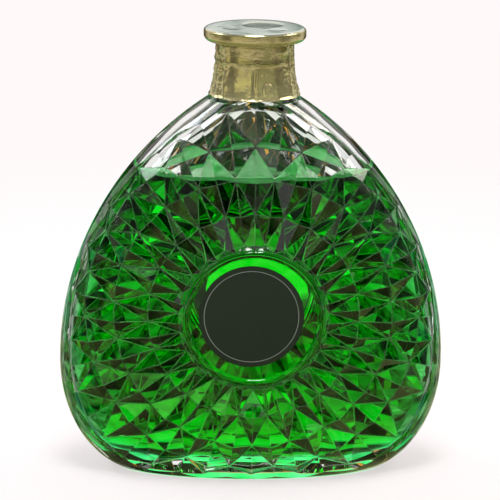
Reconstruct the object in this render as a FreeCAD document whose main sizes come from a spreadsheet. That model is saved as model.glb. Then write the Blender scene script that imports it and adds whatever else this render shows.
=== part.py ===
import FreeCAD, Part
import math
import os
import Sketcher

# Cut-glass flask with a flat-headed stopper under a gold foil capsule.
# Frame: +Z up, +X to the right, the labelled face looks along -Y,
# and the origin is the middle of the foot on the table. Millimetres.
SIZES = [
    # flask envelope
    ("belly_half_width", 76.0, "widest half width, seen from the front"),
    ("belly_height", 44.0, "height of the widest place"),
    ("foot_half_width", 53.0, "half width of the foot on the table"),
    ("crown_half_depth", 30.8, "half depth of the fullest section"),
    ("crown_height", 62.0, "height of the fullest section"),
    ("foot_half_depth", 18.0, "half depth of the foot on the table"),
    ("heel_cut", 2.0, "how far the table plane cuts into the side heel curve"),
    ("crown_heel_cut", 0.6, "the same for the front heel curve"),
    ("root_height", 150.5, "height where the shoulder meets the neck"),
    ("root_half_width", 18.2, "half width of the shoulder at the neck"),
    ("root_half_depth", 17.6, "half depth of the shoulder at the neck"),
    # wall
    ("wall_side", 4.4, "glass at the sides and shoulders"),
    ("wall_face", 6.5, "glass at the front and back, before the facets are cut"),
    ("floor_thickness", 9.5, "glass under the liquid"),
    ("floor_corner", 4.5, "how far the hollow's heel draws in from the wall at the floor"),
    ("punt_rise", 1.6, "hollow under the base"),
    ("foot_land", 5.0, "width of the ring that stands on the table"),
    # facets
    ("medal_height", 69.8, "centre of the round medallion"),
    ("medal_radius", 27.4, "flat medallion"),
    ("medal_sink", 2.7, "medallion plane below the fullest depth"),
    ("rim_step", 1.5, "length of the grooves' steep inner ends, round the medallion"),
    ("rim_relief", 2.2, "depth of the grooves there, below the medallion plane"),
    ("first_step", 11.8, "from there to the first ring of facet nodes"),
    ("second_step", 13.3, "from the first ring to the second"),
    ("third_step", 11.5, "from the second ring to the third"),
    ("facet_rise", 6.0, "how far past the shoulder the topmost facets aim"),
    ("facet_relief", 3.4, "depth of the valleys below the pyramid tips"),
    ("edge_relief", 2.0, "the same beside the smooth edge"),
    ("tip_flat", 0.15, "wear of the pyramid tips below the envelope"),
    ("ring_inset", 1.7, "middle of the raised ring inside the medallion's rim"),
    ("ring_bead", 1.5, "half thickness of that ring"),
    ("ring_sink", 0.3, "how far its middle lies under the medallion plane"),
    # neck
    ("neck_length", 22.6, "from the shoulder to the glass lip"),
    ("bore_radius", 10.0, "inside of the neck"),
    ("neck_wall", 3.85, "glass of the neck above the tear line"),
    ("tear_drop", 7.3, "tear line of the capsule below the glass lip"),
    ("neck_step", 0.3, "step of the glass at the tear line"),
    ("flare_radius", 39.0, "sweep of the neck into the shoulder"),
    ("neck_bury", 6.0, "length of neck inside the shoulder"),
    # contents
    ("headspace", 28.5, "liquid level below the neck"),
    ("liquid_gap", 0.1, "between liquid and glass"),
    # label
    ("label_margin", 4.0, "bare glass between the label and the ring"),
    ("label_thickness", 0.25, "paper and print"),
    ("label_shift_left", 1.0, "the label sits a little to the left"),
    ("label_shift_up", 1.0, "and a little high"),
    # stopper
    ("head_overhang", 5.2, "disc head beyond the neck"),
    ("head_thickness", 4.15, "disc head"),
    ("head_round", 1.6, "rounding of the head's rim"),
    ("seat_gap", 0.02, "head above the glass lip when closed"),
    ("plug_clearance", 0.05, "plug in the bore"),
    ("plug_length", 22.0, "plug below the head"),
    ("plug_tip", 1.5, "chamfer that leads the plug in"),
    ("socket_depth", 2.0, "plug glued into the head"),
    ("glue_gap", 0.03, "glue line"),
    # foil
    ("foil", 0.35, "thickness of the capsule"),
    ("foil_gap", 0.05, "foil shrunk on to what it covers"),
    ("lift_gap", 0.35, "moving foil clear of the glass neck"),
    ("tear_gap", 0.2, "width of the tear line"),
    ("fold_width", 0.9, "flat of the foil's top fold, inside the rounded rim"),
    ("hem_rise", 0.7, "lower edge of the capsule above the shoulder"),
]
SPOKES = 23
COLUMNS = 2 * SPOKES
EDGE_RING = 5
OUTSIDE_RING = 6
HEEL_SECTIONS = 7
SHOULDER_SECTIONS = 9
OUTER_TAPER = 3.0
INNER_TAPER = 3.5
THIRD_RING_LIMIT = 0.92
FOURTH_RING_SHARE = 0.65
OUTSIDE_SHARE = 1.12
ROUND_SHARE = 0.45

doc = FreeCAD.newDocument("flask")
sheet = doc.addObject("Spreadsheet::Sheet", "Sizes")
for row, (alias, number, note) in enumerate(SIZES, start=1):
    sheet.set("A%d" % row, note)
    sheet.set("B%d" % row, str(number))
    sheet.setAlias("B%d" % row, alias)
doc.recompute()


def size(expression):
    found = sheet.evalExpression(expression)
    return float(getattr(found, "Value", found))


given = {alias: size(alias) for alias, number, note in SIZES}


def bind(obj, **expressions):
    for name, expression in expressions.items():
        obj.setExpression(name.replace("__", "."), expression)


def feature(name, shape):
    obj = doc.addObject("Part::Feature", name)
    obj.Shape = shape
    obj.Placement = FreeCAD.Placement()
    return obj


# The flask's envelope is a stack of ellipses. The heel is a quarter ellipse cut by the table,
# the shoulder is one arc from the belly to the neck, and the front tapers with a power curve.
def heel(height, turn, widest, foot, cut):
    rise = turn + cut
    reach = (widest - foot) / (1.0 - math.sqrt(1.0 - (turn / rise) ** 2))
    return widest - reach + reach * math.sqrt(1.0 - ((turn - height) / rise) ** 2)


def taper(share, full, root, power):
    return root + (full - root) * (1.0 - share ** power)


SHOULDER_RISE = given["root_height"] - given["belly_height"]
SHOULDER_DROP = given["belly_half_width"] - given["root_half_width"]
SHOULDER_RADIUS = (SHOULDER_RISE ** 2 + SHOULDER_DROP ** 2) / (2.0 * SHOULDER_DROP)
SHOULDER_CENTRE = given["belly_half_width"] - SHOULDER_RADIUS


def half_width(z):
    belly = given["belly_height"]
    if z < belly:
        return heel(z, belly, given["belly_half_width"], given["foot_half_width"], given["heel_cut"])
    return SHOULDER_CENTRE + math.sqrt(max(0.0, SHOULDER_RADIUS ** 2 - (z - belly) ** 2))


def half_depth(z):
    crown = given["crown_height"]
    if z < crown:
        return heel(z, crown, given["crown_half_depth"], given["foot_half_depth"], given["crown_heel_cut"])
    share = (z - crown) / (given["root_height"] - crown)
    return taper(share, given["crown_half_depth"], given["root_half_depth"], OUTER_TAPER)


# The hollow keeps the wall's thickness, on an arc about the shoulder's centre, up to the bore.
# The liquid has the same shape, a gap smaller.
def inner_top(gap):
    radius = SHOULDER_RADIUS - given["wall_side"] - gap
    reach = given["bore_radius"] - gap - SHOULDER_CENTRE
    return given["belly_height"] + math.sqrt(radius ** 2 - reach ** 2)


def inner_half_width(z, gap):
    shrink = given["wall_side"] + gap
    if z < given["belly_height"]:
        floor = given["floor_thickness"] + gap
        widest = given["belly_half_width"] - shrink
        foot = half_width(floor) - shrink - given["floor_corner"]
        return heel(z - floor, given["belly_height"] - floor, widest, foot, given["heel_cut"])
    return SHOULDER_CENTRE + math.sqrt((SHOULDER_RADIUS - shrink) ** 2 - (z - given["belly_height"]) ** 2)


def inner_half_depth(z, gap):
    crown = given["crown_height"]
    fullest = given["crown_half_depth"] - given["wall_face"] - gap
    if z < crown:
        floor = given["floor_thickness"] + gap
        foot = half_depth(floor) - given["wall_face"] - given["floor_corner"] / 2.0 - gap
        return heel(z - floor, crown - floor, fullest, foot, given["crown_heel_cut"])
    share = (z - crown) / (inner_top(gap) - crown)
    return taper(share, fullest, given["bore_radius"] - gap, INNER_TAPER)


def ellipse(half_x, half_y, z):
    curve = Part.Circle(FreeCAD.Vector(0, 0, z), FreeCAD.Vector(0, 0, 1), 1.0).toBSpline()
    for index, pole in enumerate(curve.getPoles(), start=1):
        curve.setPole(index, FreeCAD.Vector(pole.x * half_x, pole.y * half_y, z))
    return Part.Wire(curve.toShape())


# Sections close up towards both ends, where the walls turn fastest.
def section_heights(bottom, turn, top):
    heel_angles = [0.5 * math.pi * step / HEEL_SECTIONS for step in range(HEEL_SECTIONS)]
    shoulder_angles = [0.5 * math.pi * step / SHOULDER_SECTIONS for step in range(SHOULDER_SECTIONS + 1)]
    return ([bottom + (turn - bottom) * (1.0 - math.cos(angle)) for angle in heel_angles]
            + [turn + (top - turn) * math.sin(angle) for angle in shoulder_angles])


def stack(heights, width_at, depth_at):
    return Part.makeLoft([ellipse(width_at(z), depth_at(z), z) for z in heights], True, False)


def hollow(gap):
    heights = section_heights(given["floor_thickness"] + gap, given["belly_height"], inner_top(gap))
    return stack(heights, lambda z: inner_half_width(z, gap), lambda z: inner_half_depth(z, gap))


# The cut of the glass: rings of nodes about the medallion, with two columns to each spoke.
# Tips and valleys take turns, and each four-sided cell is folded from valley to valley.
def outline_radius(angle):
    near, far = given["medal_radius"], 2.0 * given["root_height"]
    top = given["root_height"] + given["facet_rise"]
    for _ in range(50):
        middle = 0.5 * (near + far)
        x, z = middle * math.sin(angle), given["medal_height"] - middle * math.cos(angle)
        inside = 0.0 <= z <= top and abs(x) < half_width(z)
        near, far = (middle, far) if inside else (near, middle)
    return near


def dome(x, z):
    z = min(max(z, 0.0), given["root_height"])
    return half_depth(z) * math.sqrt(max(0.0, 1.0 - (x / half_width(z)) ** 2))


def ring_radii(angle):
    edge = outline_radius(angle)
    start = given["medal_radius"] + given["rim_step"]
    first = start + given["first_step"]
    second = first + given["second_step"]
    third = min(second + given["third_step"], THIRD_RING_LIMIT * edge)
    fourth = third + FOURTH_RING_SHARE * (edge - third)
    return [given["medal_radius"], start, first, second, third, fourth, OUTSIDE_SHARE * edge]


def is_valley(ring, column):
    return (ring + column) % 2 == 1


# Half depths of one column's nodes: flat on the medallion, grooved from its rim outwards, and
# straight out past the edge.
def facet_column(column):
    angle = math.pi * column / SPOKES
    medal = given["crown_half_depth"] - given["medal_sink"]
    nodes = []
    for ring, radius in enumerate(ring_radii(angle)):
        x, z = radius * math.sin(angle), given["medal_height"] - radius * math.cos(angle)
        if ring == 0:
            depth = medal
        elif ring == 1:
            depth = medal - (given["rim_relief"] if is_valley(ring, column) else 0.0)
        elif ring == OUTSIDE_RING:
            depth = nodes[EDGE_RING][1]
        else:
            valley = given["edge_relief"] if ring == EDGE_RING else given["facet_relief"]
            depth = dome(x, z) - (valley if is_valley(ring, column) else given["tip_flat"])
        nodes.append((x, depth, z))
    return nodes


def polygon(points):
    return Part.Face(Part.makePolygon(list(points) + [points[0]]))


def cut_faces(columns, side):
    def node(ring, column):
        x, depth, z = columns[column % COLUMNS][ring]
        return FreeCAD.Vector(x, side * depth, z)

    faces = [polygon([node(0, column) for column in range(COLUMNS)])]
    for ring in range(OUTSIDE_RING):
        for column in range(COLUMNS):
            near, near_next = node(ring, column), node(ring, column + 1)
            far, far_next = node(ring + 1, column), node(ring + 1, column + 1)
            if is_valley(ring, column):
                faces += [polygon([near, far_next, near_next]), polygon([near, far, far_next])]
            else:
                faces += [polygon([near_next, near, far]), polygon([near_next, far, far_next])]
    return faces


def gem():
    columns = [facet_column(column) for column in range(COLUMNS)]
    faces = cut_faces(columns, -1) + cut_faces(columns, 1)
    for here, there in zip(columns, columns[1:] + columns[:1]):
        (x, depth, z), (x_next, depth_next, z_next) = here[OUTSIDE_RING], there[OUTSIDE_RING]
        faces.append(polygon([
            FreeCAD.Vector(x, -depth, z), FreeCAD.Vector(x_next, -depth_next, z_next),
            FreeCAD.Vector(x_next, depth_next, z_next), FreeCAD.Vector(x, depth, z)]))
    shell = Part.makeShell(faces)
    shell.sewShape()
    solid = Part.Solid(shell)
    if solid.Volume < 0:
        solid.reverse()
    return solid


# A turned piece is a profile about the Z axis. Each corner is (radius, height, bend), where bend
# is None for a straight edge to the next corner, or an arc's radius, with a minus where the arc
# runs clockwise.
def turned(name, corners):
    body = doc.addObject("PartDesign::Body", name)
    sketch = body.newObject("Sketcher::SketchObject", name + "_profile")
    plane = [item for item in body.Origin.OriginFeatures if item.Role == "XZ_Plane"][0]
    sketch.AttachmentSupport = [(plane, "")]
    sketch.MapMode = "FlatFace"
    places = [FreeCAD.Vector(size(radius), size(height), 0) for radius, height, bend in corners]
    edges = [profile_edge(sketch, here, there, bend)
             for here, there, (radius, height, bend) in zip(places, places[1:] + places[:1], corners)]
    for place, corner, edge, following in zip(places, corners, edges, edges[1:] + edges[:1]):
        number, start, end = edge
        sketch.addConstraint(Sketcher.Constraint("Coincident", number, end, following[0], following[1]))
        if corner[0] == "0":
            sketch.addConstraint(Sketcher.Constraint("PointOnObject", number, start, -2))
        else:
            drive(sketch, corner[0], "DistanceX", -1, 1, number, start, place.x)
        drive(sketch, corner[1], "DistanceY", -1, 1, number, start, place.y)
    spin = body.newObject("PartDesign::Revolution", name + "_turn")
    spin.Profile = sketch
    spin.ReferenceAxis = (sketch, ["V_Axis"])
    spin.Angle = 360
    body.Tip = spin
    return body


def drive(sketch, expression, *rule):
    number = sketch.addConstraint(Sketcher.Constraint(*rule))
    sketch.setExpression("Constraints[%d]" % number, expression)


def profile_edge(sketch, here, there, bend):
    if bend is None:
        return sketch.addGeometry(Part.LineSegment(here, there)), 1, 2
    clockwise = bend.startswith("-")
    reach = bend.lstrip("-")
    half = 0.5 * (there - here)
    across = FreeCAD.Vector(-half.y, half.x, 0).normalize() * math.sqrt(size(reach) ** 2 - half.Length ** 2)
    centre = here + half - across if clockwise else here + half + across
    begin, end = [math.atan2(point.y - centre.y, point.x - centre.x) for point in (here, there)]
    circle = Part.Circle(centre, FreeCAD.Vector(0, 0, 1), size(reach))
    arc = Part.ArcOfCircle(circle, end, begin) if clockwise else Part.ArcOfCircle(circle, begin, end)
    number = sketch.addGeometry(arc)
    drive(sketch, reach, "Radius", number, size(reach))
    return (number, 2, 1) if clockwise else (number, 1, 2)


# Heights and radii that several pieces share.
LIP = "(Sizes.root_height + Sizes.neck_length)"
TEAR = "(%s - Sizes.tear_drop)" % LIP
FINISH = "(Sizes.bore_radius + Sizes.neck_wall)"
SHAFT = "(%s + Sizes.neck_step)" % FINISH
MEDAL = "(Sizes.crown_half_depth - Sizes.medal_sink)"
RING = "(Sizes.medal_radius - Sizes.ring_inset)"


def flared(radius, sweep, height):
    return "%s + %s - sqrt(%s ^ 2 - (%s - %s) ^ 2)" % (radius, sweep, sweep, TEAR, height)


# Glass: the envelope and the facets have the flask in common. The neck has a straight finish for
# the closure and a flare down to the shoulder, and is buried in it as a cone.
blank = feature("flask_blank", stack(
    section_heights(0.0, given["belly_height"], given["root_height"]), half_width, half_depth))
facets = feature("facet_cut", gem())
facetted = doc.addObject("Part::MultiCommon", "facetted_flask")
facetted.Shapes = [blank, facets]

neck = turned("neck", [
    ("0", LIP, None),
    (FINISH, LIP, None),
    (FINISH, TEAR, None),
    (SHAFT, TEAR, "Sizes.flare_radius"),
    (flared(SHAFT, "Sizes.flare_radius", "Sizes.root_height"), "Sizes.root_height", None),
    (FINISH, "Sizes.root_height - Sizes.neck_bury", None),
    ("0", "Sizes.root_height - Sizes.neck_bury", None)])

rings = []
for name, side in (("front_ring", "-"), ("back_ring", "")):
    ring = doc.addObject("Part::Torus", name)
    ring.Placement.Rotation = FreeCAD.Rotation(FreeCAD.Vector(1, 0, 0), 90)
    bind(ring, Radius1=RING, Radius2="Sizes.ring_bead", Placement__Base__z="Sizes.medal_height",
         Placement__Base__y="%s(%s - Sizes.ring_sink)" % (side, MEDAL))
    rings.append(ring)

outside = doc.addObject("Part::MultiFuse", "flask_outside")
outside.Shapes = [facetted, neck] + rings

cavity = feature("cavity", hollow(0.0))
bore = doc.addObject("Part::Cylinder", "neck_bore")
bind(bore, Radius="Sizes.bore_radius", Height="Sizes.neck_length + 2 * Sizes.neck_bury",
     Placement__Base__z="Sizes.root_height - Sizes.neck_bury")
punt_levels = [(given["foot_land"], 0.0), (2.0 * given["foot_land"], given["punt_rise"])]
punt = feature("punt", Part.makeLoft([
    ellipse(given["foot_half_width"] - land, given["foot_half_depth"] - land, height)
    for land, height in punt_levels], True, True))
inside = doc.addObject("Part::MultiFuse", "flask_inside")
inside.Shapes = [cavity, bore, punt]

glass = doc.addObject("Part::Cut", "bottle_glass")
glass.Base, glass.Tool = outside, inside

# Liquid: the hollow up to the fill line.
pool = feature("pool", hollow(given["liquid_gap"]))
level = doc.addObject("Part::Box", "fill_level")
bind(level, Length="2 * Sizes.belly_half_width", Width="2 * Sizes.crown_half_depth",
     Height="Sizes.root_height - Sizes.headspace",
     Placement__Base__x="-Sizes.belly_half_width", Placement__Base__y="-Sizes.crown_half_depth")
liquid = doc.addObject("Part::MultiCommon", "fragrance_liquid")
liquid.Shapes = [pool, level]

label = doc.addObject("Part::Cylinder", "front_label")
label.Placement.Rotation = FreeCAD.Rotation(FreeCAD.Vector(1, 0, 0), 90)
bind(label, Radius="%s - Sizes.ring_bead - Sizes.label_margin" % RING, Height="Sizes.label_thickness",
     Placement__Base__x="-Sizes.label_shift_left", Placement__Base__y="-" + MEDAL,
     Placement__Base__z="Sizes.medal_height + Sizes.label_shift_up")

# Stopper: a disc head with a plug glued into its socket.
SEAT = "(%s + Sizes.seat_gap)" % LIP
HEAD_TOP = "(%s + Sizes.head_thickness)" % SEAT
HEAD_RADIUS = "(%s + Sizes.head_overhang)" % FINISH
HEAD_ROUND = "min(Sizes.head_round; %s * Sizes.head_thickness)" % ROUND_SHARE
PLUG = "(Sizes.bore_radius - Sizes.plug_clearance)"
PLUG_END = "(%s - Sizes.plug_length)" % SEAT
SOCKET_TOP = "(%s + Sizes.socket_depth)" % SEAT
HEAD_FLAT = "(%s - %s)" % (HEAD_RADIUS, HEAD_ROUND)
RIM_LOW = "(%s + %s)" % (SEAT, HEAD_ROUND)
RIM_HIGH = "(%s - %s)" % (HEAD_TOP, HEAD_ROUND)
head = turned("stopper_head", [
    ("0", SOCKET_TOP, None),
    (PLUG + " + Sizes.glue_gap", SOCKET_TOP, None),
    (PLUG + " + Sizes.glue_gap", SEAT, None),
    (HEAD_FLAT, SEAT, HEAD_ROUND),
    (HEAD_RADIUS, RIM_LOW, None),
    (HEAD_RADIUS, RIM_HIGH, HEAD_ROUND),
    (HEAD_FLAT, HEAD_TOP, None),
    ("0", HEAD_TOP, None)])
plug = turned("stopper_plug", [
    ("0", PLUG_END, None),
    (PLUG + " - Sizes.plug_tip", PLUG_END, None),
    (PLUG, PLUG_END + " + Sizes.plug_tip", None),
    (PLUG, SOCKET_TOP + " - Sizes.glue_gap", None),
    ("0", SOCKET_TOP + " - Sizes.glue_gap", None)])

# Capsule: the cap wraps the head, from a fold on its top down to the tear line. A disc closes the top,
# and the skirt stays on the neck.
INNER_ROUND = "(%s + Sizes.foil_gap)" % HEAD_ROUND
OUTER_ROUND = "(%s + Sizes.foil_gap + Sizes.foil)" % HEAD_ROUND
CAP_IN = "(%s + Sizes.foil_gap)" % HEAD_RADIUS
CAP_OUT = "(%s + Sizes.foil)" % CAP_IN
TOP_IN = "(%s + Sizes.foil_gap)" % HEAD_TOP
TOP_OUT = "(%s + Sizes.foil)" % TOP_IN
UNDER_IN = "(%s - Sizes.foil_gap)" % SEAT
UNDER_OUT = "(%s - Sizes.foil)" % UNDER_IN
SLEEVE_IN = "(%s + Sizes.lift_gap)" % FINISH
SLEEVE_OUT = "(%s + Sizes.foil)" % SLEEVE_IN
CAP_END = "(%s + Sizes.tear_gap)" % TEAR
FOLD = "(%s - Sizes.fold_width)" % HEAD_FLAT
cap = turned("capsule_cap", [
    (FOLD, TOP_IN, None),
    (HEAD_FLAT, TOP_IN, "-" + INNER_ROUND),
    (CAP_IN, RIM_HIGH, None),
    (CAP_IN, RIM_LOW, "-" + INNER_ROUND),
    (HEAD_FLAT, UNDER_IN, None),
    (SLEEVE_IN, UNDER_IN, None),
    (SLEEVE_IN, CAP_END, None),
    (SLEEVE_OUT, CAP_END, None),
    (SLEEVE_OUT, UNDER_OUT, None),
    (HEAD_FLAT, UNDER_OUT, OUTER_ROUND),
    (CAP_OUT, RIM_LOW, None),
    (CAP_OUT, RIM_HIGH, OUTER_ROUND),
    (HEAD_FLAT, TOP_OUT, None),
    (FOLD, TOP_OUT, None)])

disc = doc.addObject("Part::Cylinder", "capsule_top_disc")
bind(disc, Radius=FOLD + " - Sizes.foil_gap", Height="Sizes.foil", Placement__Base__z=TOP_IN)

HEM = "(Sizes.root_height + Sizes.hem_rise)"
SKIRT_IN = "(%s + Sizes.foil_gap)" % SHAFT
SKIRT_OUT = "(%s + Sizes.foil)" % SKIRT_IN
SWEEP_IN = "(Sizes.flare_radius - Sizes.foil_gap)"
SWEEP_OUT = "(%s - Sizes.foil)" % SWEEP_IN
skirt = turned("capsule_skirt", [
    (SKIRT_IN, TEAR, SWEEP_IN),
    (flared(SKIRT_IN, SWEEP_IN, HEM), HEM, None),
    (flared(SKIRT_OUT, SWEEP_OUT, HEM), HEM, "-" + SWEEP_OUT),
    (SKIRT_OUT, TEAR, None)])

doc.recompute()
for obj in doc.Objects:
    if "Invalid" in obj.State or "Error" in obj.State:
        raise RuntimeError("%s did not build: %s" % (obj.Label, obj.State))

pieces = [glass, liquid, label, head, plug, cap, disc, skirt]
for piece in pieces:
    if piece.Shape.isNull() or not piece.Shape.isValid():
        raise RuntimeError("%s has no valid shape" % piece.Label)

os.makedirs("parts", exist_ok=True)
for piece in pieces:
    piece.Shape.exportStep("parts/%s.step" % piece.Label)
    print("%s: %d solid, %.1f cm3" % (piece.Label, len(piece.Shape.Solids), piece.Shape.Volume / 1000.0))
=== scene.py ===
import math

import bmesh
import bpy
from mathutils import Matrix, Vector, noise


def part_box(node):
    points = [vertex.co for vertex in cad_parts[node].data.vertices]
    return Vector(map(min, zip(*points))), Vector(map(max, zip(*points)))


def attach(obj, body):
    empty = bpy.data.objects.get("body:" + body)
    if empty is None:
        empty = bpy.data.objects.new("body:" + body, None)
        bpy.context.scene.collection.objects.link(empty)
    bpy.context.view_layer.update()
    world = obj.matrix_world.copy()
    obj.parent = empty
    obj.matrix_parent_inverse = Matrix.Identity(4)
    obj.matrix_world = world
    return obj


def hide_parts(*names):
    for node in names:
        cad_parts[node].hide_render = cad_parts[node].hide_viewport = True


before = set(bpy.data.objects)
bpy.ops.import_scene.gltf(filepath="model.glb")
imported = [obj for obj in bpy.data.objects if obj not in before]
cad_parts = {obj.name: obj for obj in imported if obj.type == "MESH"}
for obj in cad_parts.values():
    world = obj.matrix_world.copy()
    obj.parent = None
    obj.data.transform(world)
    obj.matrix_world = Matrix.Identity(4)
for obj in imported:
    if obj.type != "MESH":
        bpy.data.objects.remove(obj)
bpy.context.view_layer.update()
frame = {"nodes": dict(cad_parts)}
print("frame loaded:", ", ".join(frame["nodes"]))

mm = 0.001
mergeDistance = 0.001 * mm
standUp = Matrix.Rotation(math.radians(90), 4, "X")  # turns a flat shape on to its edge
mixA, mixB, mixResult = 6, 7, 2  # the colour sockets of a Mix node, whose names aren't unique
scene = bpy.context.scene
scene.view_settings.view_transform = "Standard"
scene.cycles.max_bounces = 32  # a ray crosses many faces of glass and liquid before it leaves the flask
scene.cycles.transmission_bounces = 32
scene.cycles.glossy_bounces = 12


# Small tools

def linear(hexColour):
    def channel(pair):
        share = int(pair, 16) / 255.0
        return share / 12.92 if share <= 0.04045 else ((share + 0.055) / 1.055) ** 2.4
    return tuple(channel(hexColour[at:at + 2]) for at in (1, 3, 5)) + (1.0,)


def addNode(tree, kind, inputs=None, **settings):
    node = tree.nodes.new(kind)
    for name, value in settings.items():
        setattr(node, name, value)
    for name, value in (inputs or {}).items():
        if isinstance(value, bpy.types.NodeSocket):
            tree.links.new(value, node.inputs[name])
        else:
            node.inputs[name].default_value = value
    return node


def newMaterial(name):
    material = bpy.data.materials.new(name)
    material.use_nodes = True
    material.node_tree.nodes.clear()
    return material, material.node_tree


def makeObject(name, bm):
    mesh = bpy.data.meshes.new(name)
    bm.to_mesh(mesh)
    bm.free()
    piece = bpy.data.objects.new(name, mesh)
    scene.collection.objects.link(piece)
    return piece


def newItems(made, kind):
    return [item for item in made["geom"] if isinstance(item, kind)]


def extrudeLoop(bm, loop):
    made = bmesh.ops.extrude_edge_only(bm, edges=loop)
    verts = newItems(made, bmesh.types.BMVert)
    fresh = set(verts)
    return verts, [edge for edge in newItems(made, bmesh.types.BMEdge) if fresh.issuperset(edge.verts)]


def spinRound(bm, sides):  # a section in the XZ plane, once round the Z axis
    bmesh.ops.spin(bm, geom=bm.verts[:] + bm.edges[:], cent=(0, 0, 0), axis=(0, 0, 1), dvec=(0, 0, 0),
                   angle=2.0 * math.pi, steps=sides, use_merge=True)
    bmesh.ops.remove_doubles(bm, verts=bm.verts[:], dist=mergeDistance)
    bmesh.ops.recalc_face_normals(bm, faces=bm.faces[:])
    return bm


def smoothShade(piece, sharpAngle):
    piece.data.shade_smooth()
    piece.data.set_sharp_from_angle(angle=math.radians(sharpAngle))
    return piece


def dress(piece, finishes, body, node):
    for finish in finishes:
        piece.data.materials.append(finish)
    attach(piece, body)
    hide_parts(node)
    print("made", piece.name, "with", len(piece.data.polygons), "faces")


# Flask: the envelope of the glass, its hollow and the lattice of its cut

flask = dict(
    bellyHalfWidth=76 * mm, bellyHeight=44 * mm, footHalfWidth=53 * mm,
    crownHalfDepth=30.8 * mm, crownHeight=62 * mm, footHalfDepth=18 * mm,
    heelCut=2 * mm, crownHeelCut=0.6 * mm,
    rootHeight=150.5 * mm, rootHalfWidth=18.2 * mm, rootHalfDepth=17.6 * mm,
    wallSide=4.4 * mm, wallFace=6.5 * mm, floorThickness=9.5 * mm, floorCorner=4.5 * mm,
    puntRise=1.6 * mm, footLand=5 * mm,
    outerTaper=3.0, innerTaper=3.5,
    boreRadius=10 * mm, finishRadius=13.85 * mm, shaftRadius=14.15 * mm, tearHeight=165.8 * mm,
    flareRadius=39 * mm, neckBury=6 * mm, lipRound=1.2 * mm,
    toolOver=2 * mm, toolUnder=1 * mm,  # how far the cutting shapes stand out of the glass
    wetMargin=0.3 * mm,  # how far from the hollow a face still counts as its wall
    ovalSides=192, levels=56, neckSides=96, lipSteps=6, rimSteps=4, flareSteps=12,
)
cut = dict(
    spokes=23, medalHeight=69.8 * mm, medalRadius=27.4 * mm, medalSink=2.7 * mm,
    steps=(1.5 * mm, 11.8 * mm, 13.3 * mm, 11.5 * mm), thirdLimit=0.92, fourthShare=0.65, outsideShare=1.12,
    topRise=6 * mm, searchSteps=50,
    rimRelief=2.2 * mm, relief=3.4 * mm, edgeRelief=2.0 * mm, tipFlat=0.15 * mm, edgeRing=5, outsideRing=6,
    ridgeWidth=0.32 * mm, ridgeSegments=2, ridgeAngle=math.radians(4), ridgeMark="ridge",
    ringRadius=25.7 * mm, ringBead=1.5 * mm, ringSink=0.3 * mm, ringSides=160, beadSides=24,
    sharpAngle=24, normalWeight=100,
)
dryPart, wetPart, ridgePart = range(3)  # order of the finishes on the flask
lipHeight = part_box("bottle_glass")[1][2]

shoulderRise = flask["rootHeight"] - flask["bellyHeight"]
shoulderDrop = flask["bellyHalfWidth"] - flask["rootHalfWidth"]
shoulderRadius = (shoulderRise ** 2 + shoulderDrop ** 2) / (2.0 * shoulderDrop)
shoulderCentre = flask["bellyHalfWidth"] - shoulderRadius


def heelCurve(height, turn, widest, foot, cutDepth):
    rise = turn + cutDepth
    reach = (widest - foot) / (1.0 - math.sqrt(1.0 - (turn / rise) ** 2))
    return widest - reach + reach * math.sqrt(1.0 - ((turn - height) / rise) ** 2)


def halfWidth(z):
    belly = flask["bellyHeight"]
    if z < belly:
        return heelCurve(z, belly, flask["bellyHalfWidth"], flask["footHalfWidth"], flask["heelCut"])
    return shoulderCentre + math.sqrt(shoulderRadius ** 2 - (z - belly) ** 2)


def halfDepth(z):
    crown, full, root = flask["crownHeight"], flask["crownHalfDepth"], flask["rootHalfDepth"]
    if z < crown:
        return heelCurve(z, crown, full, flask["footHalfDepth"], flask["crownHeelCut"])
    share = (z - crown) / (flask["rootHeight"] - crown)
    return root + (full - root) * (1.0 - share ** flask["outerTaper"])


def innerTop(gap=0.0):
    radius = shoulderRadius - flask["wallSide"] - gap
    reach = flask["boreRadius"] - gap - shoulderCentre
    return flask["bellyHeight"] + math.sqrt(radius ** 2 - reach ** 2)


def innerHalfWidth(z, gap=0.0):
    belly, shrink = flask["bellyHeight"], flask["wallSide"] + gap
    if z < belly:
        floor = flask["floorThickness"] + gap
        widest, foot = flask["bellyHalfWidth"] - shrink, halfWidth(floor) - shrink - flask["floorCorner"]
        return heelCurve(z - floor, belly - floor, widest, foot, flask["heelCut"])
    return shoulderCentre + math.sqrt((shoulderRadius - shrink) ** 2 - (z - belly) ** 2)


def innerHalfDepth(z, gap=0.0):
    crown, full = flask["crownHeight"], flask["crownHalfDepth"] - flask["wallFace"] - gap
    if z < crown:
        floor = flask["floorThickness"] + gap
        foot = halfDepth(floor) - flask["wallFace"] - flask["floorCorner"] / 2.0 - gap
        return heelCurve(z - floor, crown - floor, full, foot, flask["crownHeelCut"])
    share = (z - crown) / (innerTop(gap) - crown)
    bore = flask["boreRadius"] - gap
    return bore + (full - bore) * (1.0 - share ** flask["innerTaper"])


def levelsBetween(bottom, turn, top):  # close together at the heel and at the neck
    half = flask["levels"] // 2
    quarter = [0.5 * math.pi * step / half for step in range(half + 1)]
    return ([bottom + (turn - bottom) * (1.0 - math.cos(angle)) for angle in quarter[:-1]]
            + [turn + (top - turn) * math.sin(angle) for angle in quarter])


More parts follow.
